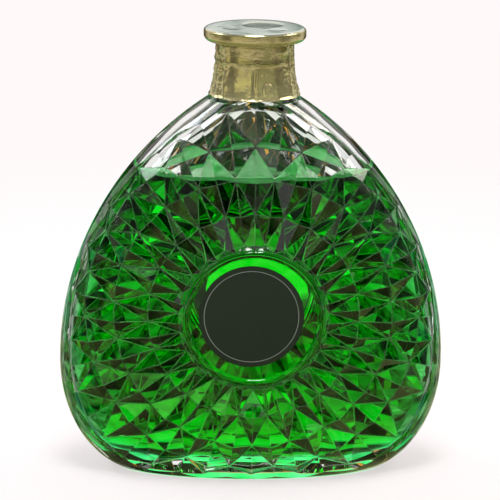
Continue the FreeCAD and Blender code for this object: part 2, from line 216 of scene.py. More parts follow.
def ovalStack(heights, widthAt, depthAt):
    bm = bmesh.new()
    bmesh.ops.create_circle(bm, segments=flask["ovalSides"], radius=1.0)
    verts, loop = bm.verts[:], bm.edges[:]
    bmesh.ops.scale(bm, vec=(widthAt(heights[0]), depthAt(heights[0]), 1.0), verts=verts)
    bmesh.ops.translate(bm, vec=(0.0, 0.0, heights[0]), verts=verts)
    for low, high in zip(heights, heights[1:]):
        verts, loop = extrudeLoop(bm, loop)
        grow = (widthAt(high) / widthAt(low), depthAt(high) / depthAt(low), 1.0)
        bmesh.ops.scale(bm, vec=grow, verts=verts)
        bmesh.ops.translate(bm, vec=(0.0, 0.0, high - low), verts=verts)
    return bm, loop


def closeUp(bm):
    rims = [edge for edge in bm.edges if edge.is_boundary]
    if rims:
        bmesh.ops.holes_fill(bm, edges=rims, sides=0)
    bmesh.ops.recalc_face_normals(bm, faces=bm.faces[:])
    return bm


def blankSolid():
    heights = levelsBetween(0.0, flask["bellyHeight"], flask["rootHeight"])
    return closeUp(ovalStack(heights, halfWidth, halfDepth)[0])


def hollowSolid():
    heights = levelsBetween(flask["floorThickness"], flask["bellyHeight"], innerTop())
    return closeUp(ovalStack(heights, innerHalfWidth, innerHalfDepth)[0])


def turned(corners, sides, axisClosed):  # corners are (radius, height)
    bm = bmesh.new()
    verts = [bm.verts.new((radius, 0.0, height)) for radius, height in corners]
    pairs = list(zip(verts, verts[1:])) + ([] if axisClosed else [(verts[-1], verts[0])])
    for pair in pairs:
        bm.edges.new(pair)
    return spinRound(bm, sides)


def arcCorners(centre, radius, begin, end, count):
    angles = [begin + (end - begin) * step / count for step in range(count + 1)]
    return [(centre[0] + radius * math.cos(angle), centre[1] + radius * math.sin(angle)) for angle in angles]


def flareAt(height, radius, sweep):  # outside of the neck between the tear line and the shoulder
    return radius + sweep - math.sqrt(sweep ** 2 - (flask["tearHeight"] - height) ** 2)


def outlineRadius(angle):
    near, far, top = cut["medalRadius"], 2.0 * flask["rootHeight"], flask["rootHeight"] + cut["topRise"]
    for _ in range(cut["searchSteps"]):
        middle = 0.5 * (near + far)
        x, z = middle * math.sin(angle), cut["medalHeight"] - middle * math.cos(angle)
        inside = 0.0 <= z <= top and abs(x) < halfWidth(z)
        near, far = (middle, far) if inside else (near, middle)
    return near


def domeDepth(x, z):
    z = min(max(z, 0.0), flask["rootHeight"])
    return halfDepth(z) * math.sqrt(max(0.0, 1.0 - (x / halfWidth(z)) ** 2))


def cutRadii(angle):
    edge = outlineRadius(angle)
    start = cut["medalRadius"] + cut["steps"][0]
    first = start + cut["steps"][1]
    second = first + cut["steps"][2]
    third = min(second + cut["steps"][3], cut["thirdLimit"] * edge)
    fourth = third + cut["fourthShare"] * (edge - third)
    return [cut["medalRadius"], start, first, second, third, fourth, cut["outsideShare"] * edge]


def isValley(ring, column):
    return (ring + column) % 2 == 1


def cutNode(ring, column):
    angle = math.pi * column / cut["spokes"]
    radii = cutRadii(angle)
    x, z = radii[ring] * math.sin(angle), cut["medalHeight"] - radii[ring] * math.cos(angle)
    medal = flask["crownHalfDepth"] - cut["medalSink"]
    if ring == 0:
        return Vector((x, -medal, z))
    if ring == 1:  # steep inner ends of the grooves
        return Vector((x, -(medal - (cut["rimRelief"] if isValley(ring, column) else 0.0)), z))
    if ring == cut["outsideRing"]:  # straight out past the edge
        return Vector((x, cutNode(cut["edgeRing"], column).y, z))
    valley = cut["edgeRelief"] if ring == cut["edgeRing"] else cut["relief"]
    return Vector((x, -(domeDepth(x, z) - (valley if isValley(ring, column) else cut["tipFlat"])), z))


def columnOf(vert):
    angle = math.atan2(vert.co.x, cut["medalHeight"] - vert.co.z)
    return round(angle * cut["spokes"] / math.pi) % (2 * cut["spokes"])


def facetCut():
    bm = bmesh.new()
    medal = Matrix.Translation((0.0, 0.0, cut["medalHeight"])) @ standUp
    bmesh.ops.create_circle(bm, segments=2 * cut["spokes"], radius=cut["medalRadius"], matrix=medal)
    verts, loop = bm.verts[:], bm.edges[:]
    medalRim = loop
    valleys = []
    for ring in range(cut["outsideRing"] + 1):
        if ring > 0:
            verts, loop = extrudeLoop(bm, loop)
        for vert in verts:
            column = columnOf(vert)
            vert.co = cutNode(ring, column)
            if isValley(ring, column):
                valleys.append(vert)
    bmesh.ops.connect_verts(bm, verts=valleys)  # folds each cell from valley to valley
    bmesh.ops.contextual_create(bm, geom=medalRim)
    bmesh.ops.mirror(bm, geom=bm.verts[:] + bm.edges[:] + bm.faces[:], axis="Y", merge_dist=mergeDistance)
    bmesh.ops.bridge_loops(bm, edges=[edge for edge in bm.edges if edge.is_boundary])
    bmesh.ops.recalc_face_normals(bm, faces=bm.faces[:])
    ridges = [edge for edge in bm.edges if edge.calc_face_angle(0.0) > cut["ridgeAngle"]]
    ridgeMark = bm.faces.layers.int.new(cut["ridgeMark"])
    made = bmesh.ops.bevel(bm, geom=ridges, offset=cut["ridgeWidth"], offset_type="OFFSET", affect="EDGES",
                           segments=cut["ridgeSegments"], profile=0.5, material=-1, clamp_overlap=True)
    for face in made["faces"]:
        face[ridgeMark] = 1
    bmesh.ops.triangulate(bm, faces=bm.faces[:])
    return bm


def medalRing(side):
    bm = bmesh.new()
    bead = Matrix.Translation((cut["ringRadius"], 0.0, 0.0)) @ standUp
    bmesh.ops.create_circle(bm, segments=cut["beadSides"], radius=cut["ringBead"], matrix=bead)
    spinRound(bm, cut["ringSides"])
    depth = flask["crownHalfDepth"] - cut["medalSink"] - cut["ringSink"]
    place = Matrix.Translation((0.0, side * depth, cut["medalHeight"])) @ standUp
    bmesh.ops.transform(bm, matrix=place, verts=bm.verts[:])
    return bm


def neckSolid():
    root, tear, steps = flask["rootHeight"], flask["tearHeight"], flask["flareSteps"]
    finish, lip, bottom = flask["finishRadius"], flask["lipRound"], root - flask["neckBury"]
    corners = [(0.0, lipHeight)]
    corners += arcCorners((finish - lip, lipHeight - lip), lip, math.radians(90), 0.0, flask["lipSteps"])
    corners += [(finish, tear)]
    heights = [tear - (tear - root) * step / steps for step in range(steps + 1)]
    corners += [(flareAt(height, flask["shaftRadius"], flask["flareRadius"]), height) for height in heights]
    corners += [(finish, bottom), (0.0, bottom)]
    return turned(corners, flask["neckSides"], True)


def boreSolid():
    bore, rim = flask["boreRadius"], flask["lipRound"] * 0.5
    top, bottom = lipHeight + flask["toolOver"], flask["rootHeight"] - flask["neckBury"]
    corners = [(0.0, top), (bore + rim, top), (bore + rim, lipHeight)]
    corners += arcCorners((bore + rim, lipHeight - rim), rim, math.radians(90), math.radians(180),
                          flask["rimSteps"])[1:]
    corners += [(bore, bottom), (0.0, bottom)]
    return turned(corners, flask["neckSides"], True)


def puntSolid():
    land, rise = flask["footLand"], flask["puntRise"]

    def shrinkAt(z):
        return land * (1.0 + z / rise)
    return closeUp(ovalStack([-flask["toolUnder"], rise], lambda z: flask["footHalfWidth"] - shrinkAt(z),
                             lambda z: flask["footHalfDepth"] - shrinkAt(z))[0])


def carve(name, base, steps):
    piece = makeObject(name, base)
    tools = []
    for number, (operation, bm) in enumerate(steps):
        tool = makeObject("%sTool%d" % (name, number), bm)
        tools.append(tool)
        modifier = piece.modifiers.new("step%d" % number, "BOOLEAN")
        modifier.operation = operation
        modifier.solver = "EXACT"
        modifier.object = tool
    bpy.context.view_layer.update()
    carved = bpy.data.meshes.new_from_object(piece.evaluated_get(bpy.context.evaluated_depsgraph_get()))
    piece.modifiers.clear()
    piece.data = carved
    for tool in tools:
        bpy.data.objects.remove(tool)
    return piece


def isWetted(point):  # inner wall below the liquid's edge
    margin = flask["wetMargin"]
    if not flask["floorThickness"] - margin < point.z < fillHeight + fragrance["creep"]:
        return False
    width, depth = innerHalfWidth(point.z, -margin), innerHalfDepth(point.z, -margin)
    return (point.x / width) ** 2 + (point.y / depth) ** 2 < 1.0


def flaskGlass():
    piece = carve("flaskGlass", blankSolid(), [
        ("INTERSECT", facetCut()), ("UNION", neckSolid()), ("UNION", medalRing(-1)), ("UNION", medalRing(1)),
        ("DIFFERENCE", hollowSolid()), ("DIFFERENCE", boreSolid()), ("DIFFERENCE", puntSolid())])
    ridge = piece.data.attributes[cut["ridgeMark"]].data
    for face in piece.data.polygons:
        smooth = wetPart if isWetted(face.center) else dryPart
        face.material_index = ridgePart if ridge[face.index].value else smooth
    print("ridge faces:", sum(1 for mark in ridge if mark.value))
    smoothShade(piece, cut["sharpAngle"])
    weighted = piece.modifiers.new("facetNormals", "WEIGHTED_NORMAL")  # facets stay flat beside their ridges
    weighted.weight = cut["normalWeight"]
    weighted.keep_sharp = True
    return piece


# Fragrance: fills the hollow to its level, and creeps a little up the glass

fragrance = dict(
    overlap=0.12 * mm,  # into the glass, so that no air is left between them
    creep=1.1 * mm, creepFade=1.0 * mm, creepReach=(0.3 * mm, 0.8 * mm, 1.5 * mm, 2.6 * mm, 4.5 * mm),
    paintedSurfaceLight=0.75, surfaceBand=(0.2 * mm, 0.1 * mm),  # share of painted green light on the free surface, standing in for light refracted up through the liquid, and its depth
    levels=60, sharpAngle=40,
)
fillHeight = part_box("fragrance_liquid")[1][2]


def fragrancePool():
    gap = -fragrance["overlap"]
    bottom, top = flask["floorThickness"] + gap, fillHeight + fragrance["creep"]
    quarter = [0.5 * math.pi * step / fragrance["levels"] for step in range(fragrance["levels"] + 1)]
    heights = [bottom + (top - bottom) * (1.0 - math.cos(angle)) for angle in quarter]
    width, depth = innerHalfWidth(top, gap), innerHalfDepth(top, gap)
    bm, loop = ovalStack(heights, lambda z: innerHalfWidth(z, gap), lambda z: innerHalfDepth(z, gap))
    reached, level = 0.0, top
    for reach in fragrance["creepReach"]:
        verts, loop = extrudeLoop(bm, loop)
        shrink = ((width - reach) / (width - reached), (depth - reach) / (depth - reached), 1.0)
        lower = fillHeight + fragrance["creep"] * math.exp(-reach / fragrance["creepFade"])
        bmesh.ops.scale(bm, vec=shrink, verts=verts)
        bmesh.ops.translate(bm, vec=(0.0, 0.0, lower - level), verts=verts)
        reached, level = reach, lower
    return smoothShade(makeObject("fragrancePool", closeUp(bm)), fragrance["sharpAngle"])


# Label: a paper disc with a thin printed ring

label = dict(ringInset=2.1 * mm, ringWidth=0.22 * mm, edgeRound=0.08 * mm, edgeSegments=2, edgeAngle=60,
             sides=128, sharpAngle=30)
labelLow, labelHigh = [Vector(corner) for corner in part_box("front_label")]
labelMiddle = 0.5 * (labelLow + labelHigh)
labelRadius = 0.5 * (labelHigh.x - labelLow.x)


def labelDisc():
    bm = bmesh.new()
    back = Matrix.Translation((labelMiddle.x, labelHigh.y, labelMiddle.z)) @ standUp
    bmesh.ops.create_circle(bm, segments=label["sides"], radius=labelRadius, cap_ends=True, matrix=back)
    raised = newItems(bmesh.ops.extrude_face_region(bm, geom=bm.faces[:]), bmesh.types.BMVert)
    bmesh.ops.translate(bm, vec=(0.0, labelLow.y - labelHigh.y, 0.0), verts=raised)
    bmesh.ops.recalc_face_normals(bm, faces=bm.faces[:])
    rim = [edge for edge in bm.edges if edge.calc_face_angle(0.0) > math.radians(label["edgeAngle"])]
    bmesh.ops.bevel(bm, geom=rim, offset=label["edgeRound"], affect="EDGES", segments=label["edgeSegments"],
                    profile=0.5, material=-1)
    return smoothShade(makeObject("labelDisc", bm), label["sharpAngle"])


# Capsule: thin foil, crumpled where it was shrunk on to the neck, torn open once round

foil = dict(
    thickness=0.35 * mm, gap=0.05 * mm, sides=320, rows=64, sharpAngle=50,
    outerSkin=0.3,  # share of the thickness within which a point counts as outside
    # creases: size of the crumples, their height on the smooth front and on the wrinkled sides
    creases=((8.0 * mm, 0.20 * mm, 0.24 * mm), (3.4 * mm, 0.06 * mm, 0.34 * mm),
             (1.6 * mm, 0.025 * mm, 0.20 * mm)),
    frontAngle=40, sideAngle=60,
    # folds: angle from the front, width of the left and the right flank in degrees, height, low and high end
    folds=((2, 2.0, 9.0, 0.62 * mm, 150 * mm, 167 * mm), (-6, 4.0, 2.0, 0.22 * mm, 150 * mm, 166 * mm),
           (-48, 2.0, 5.0, 0.50 * mm, 150 * mm, 173 * mm), (29, 2.0, 6.0, 0.34 * mm, 150 * mm, 158 * mm),
           (-60, 3.0, 2.0, 0.40 * mm, 150 * mm, 168 * mm), (-70, 2.0, 3.0, 0.45 * mm, 153 * mm, 173 * mm),
           (-82, 3.0, 3.0, 0.50 * mm, 150 * mm, 165 * mm), (57, 2.0, 4.0, 0.40 * mm, 150 * mm, 170 * mm),
           (68, 3.0, 2.0, 0.42 * mm, 154 * mm, 173 * mm), (80, 2.0, 3.0, 0.50 * mm, 150 * mm, 167 * mm),
           (104, 3.0, 6.0, 0.40 * mm, 150 * mm, 173 * mm), (131, 2.0, 7.0, 0.45 * mm, 150 * mm, 166 * mm),
           (163, 4.0, 3.0, 0.35 * mm, 153 * mm, 173 * mm), (-168, 2.0, 8.0, 0.50 * mm, 150 * mm, 167 * mm),
           (-140, 5.0, 2.0, 0.40 * mm, 150 * mm, 173 * mm), (-112, 3.0, 3.0, 0.45 * mm, 152 * mm, 170 * mm)),
    foldWander=3.0, wanderSize=6 * mm, foldFade=1.5 * mm,
    # lumps pushed out from inside: angle from the front, height, half width, half height, rise
    lumps=((46, 169.6 * mm, 2.3 * mm, 1.9 * mm, 0.85 * mm), (17, 156.0 * mm, 1.7 * mm, 2.8 * mm, 0.75 * mm),
           (-160, 161.0 * mm, 2.2 * mm, 2.4 * mm, 0.45 * mm)),
    lumpEdge=3,
    tearWave=0.45 * mm, tearWaveSize=2.6 * mm, tearReach=0.9 * mm,
    tearLip=0.45 * mm, tearLipShare=0.3, tearLipWaves=4,
    hemRise=0.8 * mm, hemBead=0.50 * mm, hemReach=0.6 * mm, hemWave=0.55 * mm, hemWaveSize=3.0 * mm,
    hemCrumple=0.25, hemCalm=3 * mm,  # share of the crumples at the hem, and the height over which it grows
    rubbedBand=(0.7 * mm, 0.1 * mm),  # below the top: where the lacquer is whole, and where it is rubbed pale
)
skirtLow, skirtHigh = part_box("capsule_skirt")
capLow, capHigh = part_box("capsule_cap")
discLow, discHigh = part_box("capsule_top_disc")


def angleFromFront(x, y):
    return math.degrees(math.atan2(x, -y))


def turnFrom(place, angle):  # signed, in degrees
    return (angle - place + 180.0) % 360.0 - 180.0


def smoothStep(low, high, value):
    share = min(max((value - low) / (high - low), 0.0), 1.0)
    return share * share * (3.0 - 2.0 * share)


def roundNeck(angle, size):  # a point of the noise that is the same at every height
    reach = flask["shaftRadius"] / size
    return Vector((reach * math.sin(math.radians(angle)), reach * math.cos(math.radians(angle)), 0.0))


def foldLift(angle, z):
    height, fade = 0.0, foil["foldFade"]
    for place, left, right, rise, low, high in foil["folds"]:
        wander = foil["foldWander"] * noise.noise(Vector((place, z / foil["wanderSize"], 0.0)))
        turn = turnFrom(place + wander, angle)
        ends = smoothStep(low - fade, low, z) * (1.0 - smoothStep(high - fade, high, z))
        height += rise * ends * math.exp(-(turn / (left if turn < 0.0 else right)) ** 2)
    for place, level, wide, tall, rise in foil["lumps"]:
        across = math.radians(turnFrom(place, angle)) * flask["shaftRadius"] / wide
        height += rise * math.exp(-(across ** 2 + ((z - level) / tall) ** 2) ** foil["lumpEdge"])
    return height


def nearTear(z):
    return math.exp(-((z - capLow[2]) / foil["tearReach"]) ** 2)


def foilLift(x, y, z):
    angle = angleFromFront(x, y)
    wrinkled = smoothStep(foil["frontAngle"], foil["sideAngle"], abs(angle))
    height = foldLift(angle, z)
    for number, (size, smooth, rough) in enumerate(foil["creases"]):
        ridge = 1.0 - 2.0 * abs(noise.noise(Vector((x, y, z)) / size + Vector((number, 1.0, 3.0))))
        height += (smooth + (rough - smooth) * wrinkled) * max(0.0, ridge)
    lip = noise.noise(roundNeck(angle, foil["tearLipWaves"] * foil["tearWaveSize"]))
    height += nearTear(z) * foil["tearLip"] * max(0.0, foil["tearLipShare"] + lip)
    return height


def crumple(bm, outsideAt, amount):
    for vert in bm.verts:
        radius, angle = math.hypot(vert.co.x, vert.co.y), angleFromFront(vert.co.x, vert.co.y)
        if radius > outsideAt(vert.co.z) - foil["outerSkin"] * foil["thickness"]:
            lift = amount(vert.co.z) * foilLift(*vert.co)
            vert.co.x *= 1.0 + lift / radius
            vert.co.y *= 1.0 + lift / radius
        wave = noise.noise(roundNeck(angle, foil["tearWaveSize"]))
        vert.co.z += nearTear(vert.co.z) * foil["tearWave"] * wave


def skirtFoil():
    gap, thick, rows = foil["gap"], foil["thickness"], foil["rows"]
    top, hem = skirtHigh[2], skirtLow[2] + foil["hemRise"]
    heights = [top + (hem - top) * step / rows for step in range(rows + 1)]

    def inside(z):
        return flareAt(z, flask["shaftRadius"] + gap, flask["flareRadius"] - gap)

    def outside(z):
        return inside(z) + thick + foil["hemBead"] * math.exp(-((z - hem) / foil["hemReach"]) ** 2)
    corners = [(inside(z), z) for z in heights] + [(outside(z), z) for z in reversed(heights)]
    bm = turned(corners, foil["sides"], False)
    crumple(bm, outside, lambda z: min(1.0, foil["hemCrumple"] + (z - hem) / foil["hemCalm"]))
    for vert in bm.verts:  # uneven lower edge
        nearHem = math.exp(-((vert.co.z - hem) / (2.0 * foil["hemReach"])) ** 2)
        wave = noise.noise(roundNeck(angleFromFront(vert.co.x, vert.co.y), foil["hemWaveSize"]))
        vert.co.z += nearHem * foil["hemWave"] * max(0.0, wave)
    return smoothShade(makeObject("skirtFoil", bm), foil["sharpAngle"])


capRim = dict(
    headRound=1.6 * mm, topRound=1.0 * mm, foldWidth=0.9 * mm, headSeat=0.02 * mm, sleeveGap=0.35 * mm,
    rimCrumple=0.22, rimMargin=0.1 * mm, calmHeight=1 * mm,  # the rim round the head is crumpled less
    innerSteps=8, topSteps=10, lowSteps=12,
)


def capFoil():
    thick, gap = foil["thickness"], foil["gap"]
    capOut, topOut, tear = capHigh[0], capHigh[2], capLow[2]
    sleeveIn = flask["finishRadius"] + capRim["sleeveGap"]
    sleeveOut = sleeveIn + thick
    underOut = lipHeight + capRim["headSeat"] - gap - thick
    lowIn, topIn = capRim["headRound"] + gap, capRim["topRound"]
    lowOut, topCorner = lowIn + thick, topIn + thick
    foldIn = capOut - lowOut - capRim["foldWidth"]
    rows, inner = foil["rows"] // 2, capRim["innerSteps"]
    right, up, down = 0.0, math.radians(90), math.radians(-90)
    lowCentre, topCentre = (capOut - lowOut, underOut + lowOut), (capOut - topCorner, topOut - topCorner)
    sleeve = [underOut + (tear - underOut) * step / rows for step in range(rows + 1)]
    corners = [(sleeveIn, z) for z in reversed(sleeve)]
    corners += [(sleeveIn, underOut + thick)]
    corners += arcCorners(lowCentre, lowIn, down, right, inner)
    corners += arcCorners(topCentre, topIn, right, up, inner)
    corners += [(foldIn, topOut - thick), (foldIn, topOut)]
    corners += arcCorners(topCentre, topCorner, up, right, capRim["topSteps"])
    corners += arcCorners(lowCentre, lowOut, right, down, capRim["lowSteps"])
    corners += [(sleeveOut, z) for z in sleeve]
    bm = turned(corners, foil["sides"], False)
    crumple(bm, lambda z: sleeveOut if z < underOut else capOut - capRim["rimMargin"],
            lambda z: 1.0 if z < underOut - capRim["calmHeight"] else capRim["rimCrumple"])
    return smoothShade(makeObject("capFoil", bm), foil["sharpAngle"])


topFold = dict(
    rings=48, sides=180, waves=0.11 * mm, waveSize=8 * mm, rimHold=6,
    # dents: place, radius, width of the sloping edge, depth, how far the bottom leans down to the back
    dents=((3.0 * mm, 5.5 * mm, 8.5 * mm, 2.0 * mm, 0.31 * mm, 1.0),
           (-9.0 * mm, -3.0 * mm, 4.5 * mm, 3.0 * mm, 0.12 * mm, 0.0),
           (8.0 * mm, -7.0 * mm, 4.5 * mm, 3.0 * mm, 0.12 * mm, 0.0)),
)


def topDiscFoil():
    radius, thick = discHigh[0], discHigh[2] - discLow[2]
    bm = bmesh.new()
    bmesh.ops.create_circle(bm, segments=topFold["sides"], radius=radius)
    loop = bm.edges[:]
    for step in range(1, topFold["rings"]):
        verts, loop = extrudeLoop(bm, loop)
        share = (topFold["rings"] - step) / (topFold["rings"] - step + 1.0)
        bmesh.ops.scale(bm, vec=(share, share, 1.0), verts=verts)
    bmesh.ops.contextual_create(bm, geom=loop)
    for vert in bm.verts:
        inner = 1.0 - (math.hypot(vert.co.x, vert.co.y) / radius) ** topFold["rimHold"]
        drop = max(0.0, noise.noise(vert.co / topFold["waveSize"])) * topFold["waves"]
        for x, y, reach, slope, depth, lean in topFold["dents"]:
            away = math.hypot(vert.co.x - x, vert.co.y - y)
            bottom = depth * (1.0 + 0.5 * lean * ((vert.co.y - y) / reach - 1.0))
            drop = max(drop, bottom * (1.0 - smoothStep(reach - slope, reach, away)))
        vert.co.z = discHigh[2] - drop * inner
    bmesh.ops.recalc_face_normals(bm, faces=bm.faces[:])
    for face in bm.faces:
        if face.normal.z < 0.0:
            face.normal_flip()
    bmesh.ops.solidify(bm, geom=bm.faces[:], thickness=thick)
    bmesh.ops.recalc_face_normals(bm, faces=bm.faces[:])
    return smoothShade(makeObject("topDiscFoil", bm), foil["sharpAngle"])


# Finishes

def clearGlass(name, mirror, roughness=0.0, clear=1.0):  # pressed flint glass, fire polished, faintly wavy
    finish, tree = newMaterial(name)
    place = addNode(tree, "ShaderNodeTexCoord").outputs["Object"]
    wave = addNode(tree, "ShaderNodeTexNoise", {"Vector": place, "Scale": 1.0 / (14 * mm), "Detail": 0.0})
    bump = addNode(tree, "ShaderNodeBump", {
        "Height": wave.outputs["Fac"], "Strength": 0.42, "Distance": 1 * mm})
    shader = addNode(tree, "ShaderNodeBsdfPrincipled", {
        "Base Color": linear("#f7fbf8"), "Roughness": roughness, "IOR": 1.52, "Specular Tint": linear(mirror),
        "Transmission Weight": clear, "Normal": bump.outputs["Normal"]})
    addNode(tree, "ShaderNodeOutputMaterial", {"Surface": shader.outputs["BSDF"]})
    return finish


def greenFragrance():  # dyed alcohol: clear, with a saturated green that deepens with its thickness
    finish, tree = newMaterial("greenDyedAlcohol")
    place = addNode(tree, "ShaderNodeTexCoord").outputs["Object"]
    height = addNode(tree, "ShaderNodeSeparateXYZ", {"Vector": place}).outputs["Z"]
    below, above = fragrance["surfaceBand"]
    free = addNode(tree, "ShaderNodeMapRange", {  # only the free surface mirrors, not what wets the glass
        "Value": height, "From Min": fillHeight - below, "From Max": fillHeight - above})
    paintedSurfaceLight = addNode(tree, "ShaderNodeMix", {  # painted light: green on the free surface, standing in for light refracted up through the liquid
        "Factor": free.outputs["Result"], mixA: linear("#ffffff"), mixB: linear("#68ff80")},
        data_type="RGBA")
    # less clear at the free surface, so that the painted green light shows there
    clear = addNode(tree, "ShaderNodeMapRange", {
        "Value": free.outputs["Result"], "To Min": 1.0, "To Max": 1.0 - fragrance["paintedSurfaceLight"]})
    shader = addNode(tree, "ShaderNodeBsdfPrincipled", {
        "Base Color": paintedSurfaceLight.outputs[mixResult], "Roughness": 0.0, "IOR": 1.36,
        "Specular Tint": free.outputs["Result"], "Transmission Weight": clear.outputs["Result"]})
    dye = addNode(tree, "ShaderNodeVolumeAbsorption", {"Color": linear("#3cf58b"), "Density": 148.0})
    addNode(tree, "ShaderNodeOutputMaterial", {
        "Surface": shader.outputs["BSDF"], "Volume": dye.outputs["Volume"]})
    return finish


def labelPaper():  # black uncoated paper with one fine pale printed ring
    finish, tree = newMaterial("blackLabelPaper")
    place = addNode(tree, "ShaderNodeTexCoord").outputs["Object"]
    centred = addNode(tree, "ShaderNodeMapping", {"Vector": place, "Location": -labelMiddle})
    flat = addNode(tree, "ShaderNodeVectorMath", {0: centred.outputs["Vector"], 1: (1.0, 0.0, 1.0)},
                   operation="MULTIPLY")
    radius = addNode(tree, "ShaderNodeVectorMath", {0: flat.outputs["Vector"]}, operation="LENGTH")
    ring = addNode(tree, "ShaderNodeMath", {
        0: radius.outputs["Value"], 1: labelRadius - label["ringInset"], 2: 0.5 * label["ringWidth"]},
        operation="COMPARE")
    fibre = addNode(tree, "ShaderNodeTexNoise", {"Vector": place, "Scale": 1.0 / (0.5 * mm), "Detail": 3.0})
    paper = addNode(tree, "ShaderNodeMix", {
        "Factor": fibre.outputs["Fac"], mixA: linear("#1a2717"), mixB: linear("#22301f")},
        data_type="RGBA")
    printed = addNode(tree, "ShaderNodeMix", {
        "Factor": ring.outputs["Value"], mixA: paper.outputs[mixResult], mixB: linear("#8c928a")},
        data_type="RGBA")
    bump = addNode(tree, "ShaderNodeBump", {
        "Height": fibre.outputs["Fac"], "Strength": 0.25, "Distance": 0.05 * mm})
    shader = addNode(tree, "ShaderNodeBsdfPrincipled", {
        "Base Color": printed.outputs[mixResult], "Roughness": 0.6, "Specular IOR Level": 0.3,
        "Normal": bump.outputs["Normal"]})
    addNode(tree, "ShaderNodeOutputMaterial", {"Surface": shader.outputs["BSDF"]})
    return finish


def goldFoil():  # gold-lacquered aluminium foil: satin, crinkled, its lacquer rubbed pale on the top
    finish, tree = newMaterial("goldLacqueredFoil")
    place = addNode(tree, "ShaderNodeTexCoord").outputs["Object"]
    patch = addNode(tree, "ShaderNodeTexNoise", {"Vector": place, "Scale": 1.0 / (6 * mm), "Detail": 3.0})
    colour = addNode(tree, "ShaderNodeMix", {
        "Factor": patch.outputs["Fac"], mixA: linear("#aa9c5e"), mixB: linear("#d0c28c")},
        data_type="RGBA")
    height = addNode(tree, "ShaderNodeSeparateXYZ", {"Vector": place}).outputs["Z"]
    low = addNode(tree, "ShaderNodeMapRange", {
        "Value": height, "From Min": skirtLow[2], "From Max": capLow[2], "To Min": 0.6, "To Max": 0.0})
    shrunk = addNode(tree, "ShaderNodeMix", {  # paler towards the bottom of the skirt
        "Factor": low.outputs["Result"], mixA: colour.outputs[mixResult], mixB: linear("#f4e7b4")},
        data_type="RGBA")
    whole, worn = foil["rubbedBand"]
    top = addNode(tree, "ShaderNodeMapRange", {
        "Value": height, "From Min": capHigh[2] - whole, "From Max": capHigh[2] - worn})
    rubbed = addNode(tree, "ShaderNodeMix", {
        "Factor": top.outputs["Result"], mixA: shrunk.outputs[mixResult], mixB: linear("#d2d8c8")},
        data_type="RGBA")
    rough = addNode(tree, "ShaderNodeMapRange", {
        "Value": patch.outputs["Fac"], "From Min": 0.3, "From Max": 0.7, "To Min": 0.16, "To Max": 0.30})
    sheen = addNode(tree, "ShaderNodeMapRange", {
        "Value": top.outputs["Result"], "To Min": rough.outputs["Result"], "To Max": 0.09})
    crinkle = addNode(tree, "ShaderNodeTexNoise", {"Vector": place, "Scale": 1.0 / (1.1 * mm), "Detail": 4.0})
    flat = addNode(tree, "ShaderNodeMapRange", {
        "Value": top.outputs["Result"], "To Min": 0.3, "To Max": 0.05})
    bump = addNode(tree, "ShaderNodeBump", {
        "Height": crinkle.outputs["Fac"], "Strength": flat.outputs["Result"], "Distance": 0.25 * mm})
    shader = addNode(tree, "ShaderNodeBsdfPrincipled", {
        "Base Color": rubbed.outputs[mixResult], "Metallic": 0.75, "Roughness": sheen.outputs["Result"],
        "Normal": bump.outputs["Normal"]})
    addNode(tree, "ShaderNodeOutputMaterial", {"Surface": shader.outputs["BSDF"]})
    return finish


def headPlastic():  # moulded black polypropylene
    finish, tree = newMaterial("blackPolypropylene")
    place = addNode(tree, "ShaderNodeTexCoord").outputs["Object"]
    grain = addNode(tree, "ShaderNodeTexNoise", {"Vector": place, "Scale": 1.0 / (0.4 * mm), "Detail": 2.0})
    rough = addNode(tree, "ShaderNodeMapRange", {
        "Value": grain.outputs["Fac"], "To Min": 0.4, "To Max": 0.55})
    bump = addNode(tree, "ShaderNodeBump", {
        "Height": grain.outputs["Fac"], "Strength": 0.15, "Distance": 0.05 * mm})
    shader = addNode(tree, "ShaderNodeBsdfPrincipled", {
        "Base Color": linear("#262624"), "Roughness": rough.outputs["Result"],
        "Normal": bump.outputs["Normal"]})
    addNode(tree, "ShaderNodeOutputMaterial", {"Surface": shader.outputs["BSDF"]})
    return finish


def plugCork():  # cork granules pressed together, with dark lenticels between them
    finish, tree = newMaterial("agglomeratedCork")
    place = addNode(tree, "ShaderNodeTexCoord").outputs["Object"]
    granule = addNode(tree, "ShaderNodeTexVoronoi", {"Vector": place, "Scale": 1.0 / (1.8 * mm)})
    seam = addNode(tree, "ShaderNodeTexVoronoi", {"Vector": place, "Scale": 1.0 / (1.8 * mm)},
                   feature="DISTANCE_TO_EDGE")
    speck = addNode(tree, "ShaderNodeTexNoise", {"Vector": place, "Scale": 1.0 / (0.9 * mm), "Detail": 4.0})
    tone = addNode(tree, "ShaderNodeMix", {
        "Factor": granule.outputs["Color"], mixA: linear("#b98f5f"), mixB: linear("#dcb98c")},
        data_type="RGBA")
    dark = addNode(tree, "ShaderNodeMapRange", {
        "Value": seam.outputs["Distance"], "From Max": 0.12, "To Min": 0.75, "To Max": 0.0})
    corky = addNode(tree, "ShaderNodeMix", {
        "Factor": dark.outputs["Result"], mixA: tone.outputs[mixResult], mixB: linear("#6d4c2e")},
        data_type="RGBA")
    bump = addNode(tree, "ShaderNodeBump", {
        "Height": speck.outputs["Fac"], "Strength": 0.5, "Distance": 0.3 * mm})
    shader = addNode(tree, "ShaderNodeBsdfPrincipled", {
        "Base Color": corky.outputs[mixResult], "Roughness": 0.85, "Normal": bump.outputs["Normal"]})
    addNode(tree, "ShaderNodeOutputMaterial", {"Surface": shader.outputs["BSDF"]})
    return finish


# Assembly

